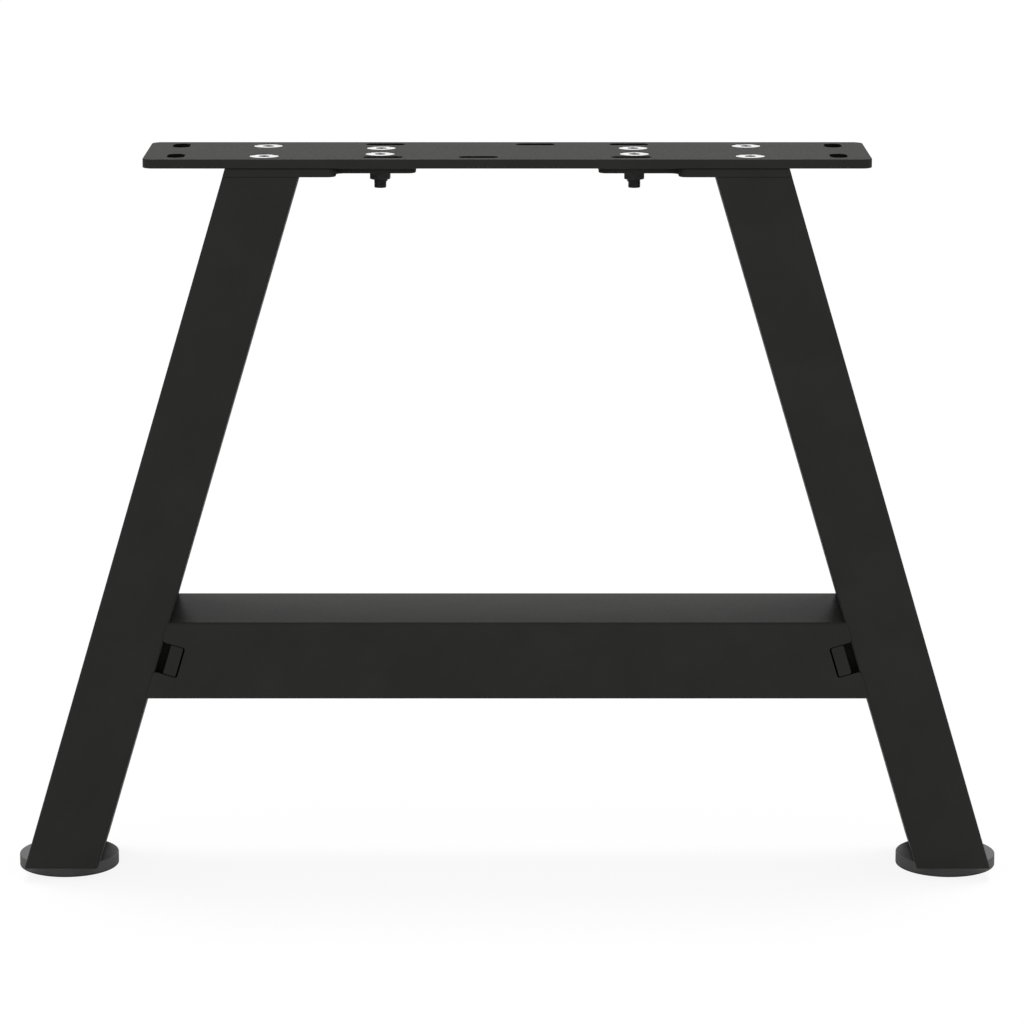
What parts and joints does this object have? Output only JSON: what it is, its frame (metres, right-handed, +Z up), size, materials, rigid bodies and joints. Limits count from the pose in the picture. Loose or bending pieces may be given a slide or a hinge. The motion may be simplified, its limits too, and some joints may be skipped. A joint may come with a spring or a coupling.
{
  "type": "trestle table leg",
  "caption": "A-shaped steel trestle leg: slotted top plate, slanted rectangular tubes, a bolted stretcher between them and round foot discs.",
  "frame": {"origin": "on the floor, midway between the two feet and between the front and back faces", "axes": "+X along the top plate, +Y from front to back, +Z up"},
  "size_m": [0.9794, 0.129, 0.72],
  "materials": {
    "powder_coat": "satin black powder coat",
    "bright_zinc": "bright zinc plate",
    "black_oxide": "black oxide steel",
    "foot_rubber": "matt dark grey rubber"
  },
  "bodies": {
    "root": {"top_plate": "powder_coat", "left_leg_tube": "powder_coat", "right_leg_tube": "powder_coat", "left_leg_flange": "powder_coat", "right_leg_flange": "powder_coat", "stretcher_tube": "powder_coat", "left_anchor_bar": "powder_coat", "right_anchor_bar": "powder_coat", "left_stretcher_end_plate": "powder_coat", "right_stretcher_end_plate": "powder_coat", "left_foot_plate": "powder_coat", "right_foot_plate": "powder_coat", "left_foot_disc": "foot_rubber", "right_foot_disc": "foot_rubber", "leg_screws": "bright_zinc", "tongue_bolts": "bright_zinc", "tongue_nuts": "black_oxide", "leg_weld_nuts": "black_oxide", "left_stretcher_bolts": "black_oxide", "right_stretcher_bolts": "black_oxide", "left_stretcher_washers": "black_oxide", "right_stretcher_washers": "black_oxide", "left_foot_screw": "black_oxide", "right_foot_screw": "black_oxide"}
  },
  "joints": []
}
